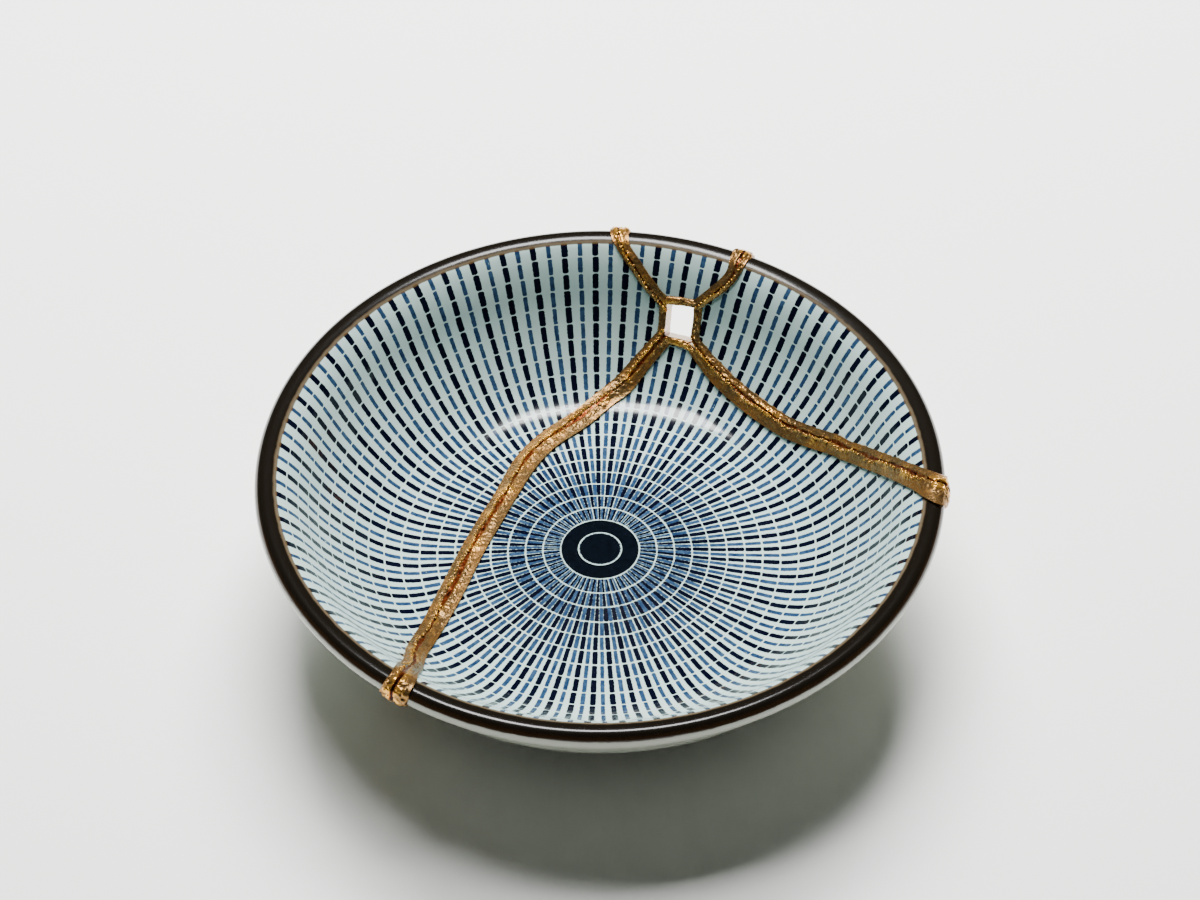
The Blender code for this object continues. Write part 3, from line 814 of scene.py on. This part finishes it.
def seam_strip(seam, seed):
    """One raised seam: two uneven slopes that rise to a crumpled ridge on either side of a sharp crease."""
    azimuth, run, share, length = seam_path(seam.points, seam.step)
    line = np.stack([length, np.full_like(length, 10.0 * seed * MM), np.zeros_like(length)], axis=1)
    lip = np.exp(-((run - MARKS["lip_out"] + LUMPS_BACK) / LUMPS_REACH) ** 4)
    outside = np.clip((run - MARKS["lip_out"]) / SEAM_OUTSIDE, 0.0, 1.0)
    taper = 1.0 - 0.62 * outside ** 0.8
    half = 0.5 * seam.width * share * (1.0 + 0.20 * lip) * taper
    left = half * (1.0 + 0.13 * wander(line, 3.4 * MM, seed) + 0.08 * wander(line, 1.2 * MM, seed + 5))
    right = half * (1.0 + 0.13 * wander(line, 3.0 * MM, seed + 1) + 0.08 * wander(line, 1.1 * MM, seed + 6))
    crease = seam.crease + 0.16 * wander(line, 12.0 * MM, seed + 2) + 0.07 * wander(line, 2.2 * MM, seed + 3)
    opening = 0.125 + 0.110 * np.clip(1.8 * wander(line, 7.0 * MM, seed + 4), -0.5, 1.0)
    end = np.clip((length[-1] - length) / 0.0022, 0.0, 1.0)
    fade = np.sqrt(end * (2.0 - end))
    crease_of = {}

    def height_of(across, section, flat):
        middle, wide = crease[section], opening[section]
        off = across - middle
        part = np.clip(np.abs(off) / np.where(off > 0.0, 1.0 - middle, 1.0 + middle), 0.0, 1.0)
        edge = np.sqrt(np.maximum(1.0 - part ** 7, 0.0))
        lumps = lip[section]
        slope = 0.36 + 0.42 * (1.0 - part) ** 0.9 + 0.10 * lumps
        groove = np.exp(-np.abs(off / wide) ** 2.4)
        beside = np.exp(-((np.abs(off) - 1.9 * wide) / (1.6 * wide)) ** 2)
        beady = beside * np.where(seam.bead_side * off > 0.0, 1.0, 0.35)
        grains = pebbles(flat, 0.95 * MM, seed)
        lump = pebbles(flat, 2.1 * MM, seed + 2)
        crumple = wander(flat, 0.55 * MM, seed + 8)
        shape = slope + 0.15 * wander(flat, 1.9 * MM, seed + 7) + 0.10 * crumple
        shape += 0.50 * beady * (grains - 0.35) + 0.12 * beady * crumple
        shape += lumps * (0.55 * lump - 0.12 + 0.16 * crumple)
        shape -= (0.62 + 0.10 * crumple) * groove * (1.0 - 0.45 * lumps)
        crease_of["crease"] = groove
        return GOLD_TOP * np.clip(shape * edge, 0.02, 0.99) * fade[section] - 0.06 * MM * (1.0 - edge)

    strip = sweep(f"gold_{seam.name}", azimuth, run, left, right, height_of, seam.columns)
    bead_line = on_bead_line(seam, azimuth, run, left, right, crease, opening)
    return strip, crease_of["crease"], bead_line


def on_bead_line(seam, azimuth, run, left, right, crease, opening):
    """Points of the line of loose grains beside a seam's crease."""
    across = crease + seam.bead_side * 2.0 * opening
    offset = across * np.where(across < 0.0, left, right)
    d_run, d_side = np.gradient(run), skin_radius(run) * np.gradient(azimuth)
    size = np.hypot(d_run, d_side)
    runs = run + offset * d_side / size
    turns = azimuth - offset * d_run / size / skin_radius(runs)
    inside = runs < RUN_LENGTH - GRAINS_END
    return on_skin(turns[inside], runs[inside], 0.62 * GOLD_TOP)


def pebbles(points, size, seed):
    """Rounded lumps packed side by side: near 1 in the middle of a lump and 0 on the line between two."""
    shift = Vector((3.1 * seed, 7.7 * seed, -5.3 * seed))
    values = []
    for point in points:
        near, _ = noise.voronoi(Vector(point) / size + shift)
        values.append(min(1.0, 1.7 * (near[1] - near[0])) ** 0.6)
    return np.array(values)


def grain_tree(look):
    """Geometry nodes that lay rounded gold grains along a line, each of its own size, turn and place."""
    tree = bpy.data.node_groups.new("gold_grains", 'GeometryNodeTree')
    tree.is_modifier = True
    for name, kind, default in (
            ("Line", 'Geometry', None), ("Spacing", 'Float', 1.0 * MM), ("Grain", 'Float', 0.42 * MM),
            ("Scatter", 'Float', 0.30 * MM), ("Seed", 'Int', 0)):
        socket = tree.interface.new_socket(name, in_out='INPUT', socket_type=f"NodeSocket{kind}")
        if default is not None:
            socket.default_value = default
    tree.interface.new_socket("Grains", in_out='OUTPUT', socket_type='NodeSocketGeometry')
    given = add(tree, "NodeGroupInput").outputs
    curve = add(tree, "GeometryNodeMeshToCurve", None, given["Line"])
    even = add(tree, "GeometryNodeResampleCurve", {"mode": 'LENGTH'}, Curve=curve, Length=given["Spacing"])
    points = add(tree, "GeometryNodeCurveToPoints", {"mode": 'EVALUATED'}, even)
    away, size, turn = [
        add(tree, "FunctionNodeRandomValue", {"data_type": 'FLOAT_VECTOR'}, least, most, Seed=given["Seed"])
        for least, most in (GRAIN_SHIFT, GRAIN_SIZE, GRAIN_TURN)]
    shift = add(tree, "ShaderNodeVectorMath", 'SCALE', away.outputs[0], Scale=given["Scatter"])
    placed = add(tree, "GeometryNodeSetPosition", None, points, Offset=shift)
    grain = add(tree, "GeometryNodeMeshIcoSphere", None, given["Grain"], 2)
    laid = add(tree, "GeometryNodeInstanceOnPoints", None, placed, Instance=grain, Rotation=turn.outputs[0],
               Scale=size.outputs[0])
    real = add(tree, "GeometryNodeRealizeInstances", None, laid)
    finish = add(tree, "GeometryNodeSetMaterial", None, real, Material=look)
    add(tree, "NodeGroupOutput", None, finish)
    return tree


def grains_along(name, tree, line, spacing, seed):
    """Plain mesh object of the grains along one line."""
    mesh = bpy.data.meshes.new(name)
    mesh.from_pydata([tuple(point) for point in line], [(at, at + 1) for at in range(len(line) - 1)], [])
    made = linked(name, mesh)
    modifier = made.modifiers.new("grains", 'NODES')
    modifier.node_group = tree
    sockets = {item.name: item.identifier for item in tree.interface.items_tree if item.in_out == 'INPUT'}
    modifier[sockets["Spacing"]] = spacing
    modifier[sockets["Seed"]] = seed
    depsgraph = bpy.context.evaluated_depsgraph_get()
    made.data = bpy.data.meshes.new_from_object(made.evaluated_get(depsgraph))
    made.modifiers.clear()
    return made


def hole_frame(name, seed, outside=False):
    """Rounded gold border round the lost fragment's gap."""
    outline = hole_outline(0.5 * FRAME_WIDTH, 16)
    for _ in range(6):
        outline = 0.5 * outline + 0.25 * (np.roll(outline, 1, axis=0) + np.roll(outline, -1, axis=0))
    azimuth, run = around_hole(outline)
    if outside:
        run = outside_run(run)
    line = on_skin(azimuth, run, 0.0)
    uneven = 0.14 * wander(line, 2.2 * MM, seed) + 0.08 * wander(line, 0.9 * MM, seed + 1)
    half = 0.60 * FRAME_WIDTH * (1.0 + uneven)
    # The left side is the beady one, as in the photograph
    beady = np.clip(0.5 - outline[:, 0] / HOLE_WIDTH, 0.25, 1.0)

    def height_of(across, section, flat):
        body = np.maximum(1.0 - np.abs(across) ** 2.8, 0.0) ** 0.5
        lumps = 0.10 * wander(flat, 1.2 * MM, seed + 2) + 0.10 * wander(flat, 0.45 * MM, seed + 3)
        beads = 0.50 * beady[section] * (pebbles(flat, 0.95 * MM, seed) - 0.5)
        return GOLD_TOP * np.clip(body * (0.62 + lumps + beads), 0.02, 0.98) - 0.05 * MM * (1.0 - body)

    return sweep(name, azimuth, run, half, half, height_of, 17, closed=True)


def outside_run(run):
    """Run on the outside straight through the wall from a run on the inside."""
    focus = FLOOR_LEVEL + FOCUS_HEIGHT
    angle = np.arctan2(SKIN[:, 0], focus - SKIN[:, 1])
    outer = SKIN_RUN > RUN_LENGTH
    wanted = np.interp(run, SKIN_RUN, angle)
    falling = np.minimum.accumulate(angle[outer])
    return np.interp(-wanted, -falling, SKIN_RUN[outer])


def gold_lacquer(gold):
    """Lacquer built up over the cracks and dusted with gold powder: satin khaki gold on the slopes,
    burnished on the crumpled ridges and painted lighter there as painted highlight, and red-brown where
    bare lacquer shows in the crease, painted darker towards the crease's bottom as painted shade."""
    look, tree, shader = new_material("gold_lacquer")
    spot = add(tree, "ShaderNodeTexCoord").outputs["Object"]
    ridge, crease = [add(tree, "ShaderNodeAttribute", {"attribute_name": name}).outputs["Fac"]
                     for name in ("ridge", "crease")]
    patches = add(tree, NOISE, None, Vector=spot, Scale=190.0, Detail=3.0)
    mottle = add(tree, NOISE, None, Vector=spot, Scale=1400.0, Detail=3.0)
    worn = add(tree, MATH, 'MULTIPLY_ADD', mottle.outputs[0], 0.35, patches.outputs[0])
    # Lighter, burnished gold on the high ridges and on random worn patches: partly burnish, partly painted
    # highlight on the ridges
    polish_and_highlight = add(tree, MATH, 'MULTIPLY_ADD', ridge, 0.9, worn)
    burnish_and_highlight = step_mask(tree, polish_and_highlight, 1.22, 1.58)
    tone = layer(tree, step_mask(tree, worn, 0.52, 0.82), linear(gold.dull), linear(gold.slope))
    tone = layer(tree, burnish_and_highlight, tone, linear(gold.ridge))
    # The lacquer's red-brown in the crease, darker towards its bottom: painted shade in the crease
    tone = layer(tree, step_mask(tree, crease, 0.12, 0.55), tone, linear(gold.crease_lacquer_and_shade))
    tone = layer(tree, step_mask(tree, crease, 0.55, 0.90), tone, linear(gold.crease))
    tree.links.new(tone.outputs[2], shader.inputs["Base Color"])
    satin = add(tree, MAP, None, mottle.outputs[0], 0.3, 0.7, 0.22, 0.34)
    rough = add(tree, "ShaderNodeMix", {"data_type": 'FLOAT'}, burnish_and_highlight, None, satin, 0.14)
    tree.links.new(rough.outputs[0], shader.inputs["Roughness"])
    # Powder grain of about 0.15 mm, drawn a little coarser than gold dust so that it shows
    grain = add(tree, NOISE, None, Vector=spot, Scale=4200.0, Detail=3.0)
    low = add(tree, "ShaderNodeBump", None, Strength=0.55, Distance=0.00018, Height=mottle.outputs[0])
    top = add(tree, "ShaderNodeBump", None, Strength=0.50, Distance=0.00006, Height=grain.outputs[0],
              Normal=low.outputs[0])
    tree.links.new(top.outputs[0], shader.inputs["Normal"])
    shader.inputs["Metallic"].default_value = 0.85
    return look


class GoldSettings(bpy.types.PropertyGroup):
    """Looks of the gold seams."""
    # The ridge colour is burnished gold, painted lighter than the slopes as painted highlight on the high
    # ridges
    ridge: StringProperty(name="Ridge", description="Burnished gold of the ridges, sRGB hex",
                          default="F6B44C")
    slope: StringProperty(name="Slope", description="Satin gold of the slopes, sRGB hex", default="A87840")
    dull: StringProperty(name="Dull", description="Rubbed, khaki gold, sRGB hex", default="86683F")
    # The next two colours are the lacquer's red-brown, painted darker towards the crease's bottom as painted
    # shade
    crease_lacquer_and_shade: StringProperty(name="Copper", description="Thin gold beside the crease, sRGB hex",
                           default="7A3410")
    crease: StringProperty(name="Crease", description="Lacquer in the crease, sRGB hex", default="220B04")
    grain_spacing: FloatProperty(name="Grain spacing", description="Distance between loose gold grains",
                                 default=0.00095, unit='LENGTH')


Seam = namedtuple("Seam", "name points width bead_side crease columns step")
# bead_side is 1 where the grains lie right of the crease, going from the gap to the rim, and -1 on its left
SEAMS = (Seam("long", LONG_CRACK, SEAM_WIDTH, 1, 0.05, 34, 0.24 * MM),
         Seam("side", SIDE_CRACK, SEAM_WIDTH, 1, -0.28, 34, 0.24 * MM),
         Seam("left_rim", LEFT_RIM_CRACK, FINE_SEAM_WIDTH, -1, -0.20, 24, 0.22 * MM),
         Seam("right_rim", RIGHT_RIM_CRACK, FINE_SEAM_WIDTH, 1, 0.15, 24, 0.22 * MM))


class MESH_OT_kintsugi_gold(bpy.types.Operator):
    """Lays the gold seams over the cracks and frames the gap of the lost fragment"""
    bl_idname = "mesh.kintsugi_gold"
    bl_label = "Gold Seams"

    def execute(self, context):
        settings = context.scene.kintsugi_gold
        look = gold_lacquer(settings)
        core = turned("web_core", turning_runs(3.0), 96, grow=-CORE_SUNK)
        web = crack_cutter("web_cutter", SEAM_WEB, SEAM_WEB)
        boolean(core, web, 'INTERSECT')
        tree = grain_tree(look)
        helpers, places, creases = [], [], []
        for number, seam in enumerate(SEAMS):
            strip, crease, line = seam_strip(seam, 10 * number + 1)
            places.append(positions(strip.data)[:len(crease)])
            creases.append(crease)
            grains = grains_along(f"grains_{seam.name}", tree, line, settings.grain_spacing, number)
            helpers += [strip, grains]
        helpers += [hole_frame("gold_frame", 55), hole_frame("gold_frame_out", 66, outside=True),
                    outer_bands()]
        for helper in helpers:
            boolean(core, helper, 'UNION')
        opening = hole_prism("gap_of_fragment", 0.0, wobble=0.12 * MM)
        boolean(core, opening, 'DIFFERENCE')
        mesh = applied(core)
        remove(core, web, opening, *helpers)
        corners, faces = max(split(mesh), key=lambda body: len(body[1]))
        seam = mesh_object("gold_seam_lacquer", corners, faces, look)
        seam.data.set_sharp_from_angle(angle=math.radians(50.0))
        _, off = nearest_run(corners)
        store(seam.data, "ridge", off / GOLD_TOP)
        store(seam.data, "crease", nearest_value(corners, np.concatenate(places), np.concatenate(creases)))
        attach(seam, "root")
        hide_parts("gold_seam")
        return {'FINISHED'}


def nearest_value(points, places, values):
    """Value at the nearest of some places, or 0 where none is near."""
    index, off = nearest(points, places)
    return np.where(off < STRIP_NEAR, values[index], 0.0)


def sink_at_sole(points):
    """How far the outside bands sink near the sole, so that the bowl stands on bare clay."""
    return SOLE_SINK * np.clip((SOLE_CLEAR - points[:, 2]) / (0.8 * MM), 0.0, 1.0)


def outer_bands():
    """Plain low bands over the cracks on the outside."""
    shell = turned("outer_shell", turning_runs(1.6), 256, sink_at_sole, grow=BAND_HEIGHT)
    cutter = crack_cutter("outer_band_cutter", None, 0.8 * FRAME_WIDTH)
    boolean(shell, cutter, 'INTERSECT')
    inside = turned("outer_inside", turning_runs(1.6), 256, grow=-BAND_DEPTH)
    boolean(shell, inside, 'DIFFERENCE')
    return plain("outer_bands", shell, cutter, inside)


# Stage

class StageSettings(bpy.types.PropertyGroup):
    """Floor and light."""
    floor: StringProperty(name="Floor", description="Pale floor, sRGB hex", default="EEEFEC")
    key_power: FloatProperty(name="Key light", description="Power of the softbox behind and above",
                             default=35.0, unit='POWER')
    gloss_power: FloatProperty(name="Gloss light", description="Power of the light that the glaze mirrors",
                               default=10.0, unit='POWER')
    sky: FloatProperty(name="Ambient", description="Strength of the even light all round", default=0.02)
    fill_power: FloatProperty(name="Front light", description="Power of the weak light at the front",
                              default=0.45, unit='POWER')


class SCENE_OT_kintsugi_stage(bpy.types.Operator):
    """Sets the floor, the three soft lights and the camera"""
    bl_idname = "scene.kintsugi_stage"
    bl_label = "Stage"

    def execute(self, context):
        settings = context.scene.kintsugi_stage
        look, _, shader = new_material("matt_paper")
        shader.inputs["Base Color"].default_value = linear(settings.floor)
        shader.inputs["Roughness"].default_value = 0.75
        corners = [(x * FLOOR_HALF, y * FLOOR_HALF, 0.0) for x, y in ((-1, -1), (1, -1), (1, 1), (-1, 1))]
        floor = mesh_object("floor", corners, [(0, 1, 2, 3)], look)
        world = bpy.data.worlds.new("studio")
        world.use_nodes = True
        background = world.node_tree.nodes["Background"]
        background.inputs["Color"].default_value = (0.90, 0.95, 1.0, 1.0)
        background.inputs["Strength"].default_value = settings.sky
        context.scene.world = world
        # The glaze mirrors the gloss light and not the key light, so that it shows one bright arc
        for name, place, size, power, glossy in (
                ("key", (0.0, 0.58, 0.72), (0.60, 0.40), settings.key_power, False),
                ("gloss", (-0.06, 0.235, 0.94), (0.50, 0.19), settings.gloss_power, True),
                ("front", (0.1, -0.95, 0.07), (0.7, 0.10), settings.fill_power, True)):
            lamp = bpy.data.lights.new(name, 'AREA')
            lamp.shape = 'RECTANGLE'
            lamp.size, lamp.size_y = size
            lamp.energy = power
            light = linked(name, lamp)
            light.location = place
            light.rotation_euler = (-Vector(place)).to_track_quat('-Z', 'Y').to_euler()
            light.visible_glossy = glossy
        view = bpy.data.cameras.new("camera")
        view.sensor_width = 36.0
        view.lens = CAMERA_LENS
        camera = linked("camera", view)
        camera.location = (0.0, -CAMERA_BACK, FLOOR_LEVEL + CAMERA_UP)
        camera.rotation_euler = (math.radians(CAMERA_TILT), 0.0, 0.0)
        context.scene.camera = camera
        return {'FINISHED'}


SETTINGS = {"kintsugi_shards": ShardSettings, "kintsugi_gold": GoldSettings, "kintsugi_stage": StageSettings}
MAKERS = (MESH_OT_kintsugi_shards, MESH_OT_kintsugi_gold, SCENE_OT_kintsugi_stage)


class VIEW3D_PT_kintsugi(bpy.types.Panel):
    """Lists the bowl's settings and makers"""
    bl_idname = "VIEW3D_PT_kintsugi"
    bl_label = "Kintsugi Bowl"
    bl_space_type = 'VIEW_3D'
    bl_region_type = 'UI'
    bl_category = "Kintsugi"

    def draw(self, context):
        for group, maker in zip(SETTINGS, MAKERS):
            settings = getattr(context.scene, group)
            box = self.layout.box()
            for name in settings.__annotations__:
                box.prop(settings, name)
            box.operator(maker.bl_idname)


CLASSES = (*SETTINGS.values(), *MAKERS, VIEW3D_PT_kintsugi)


def register():
    for one in CLASSES:
        bpy.utils.register_class(one)
    for name, group in SETTINGS.items():
        setattr(bpy.types.Scene, name, PointerProperty(type=group))


def unregister():
    for name in SETTINGS:
        delattr(bpy.types.Scene, name)
    for one in reversed(CLASSES):
        bpy.utils.unregister_class(one)


def main():
    register()
    bpy.ops.mesh.kintsugi_shards()
    bpy.ops.mesh.kintsugi_gold()
    bpy.ops.scene.kintsugi_stage()


if __name__ == "__main__":
    main()
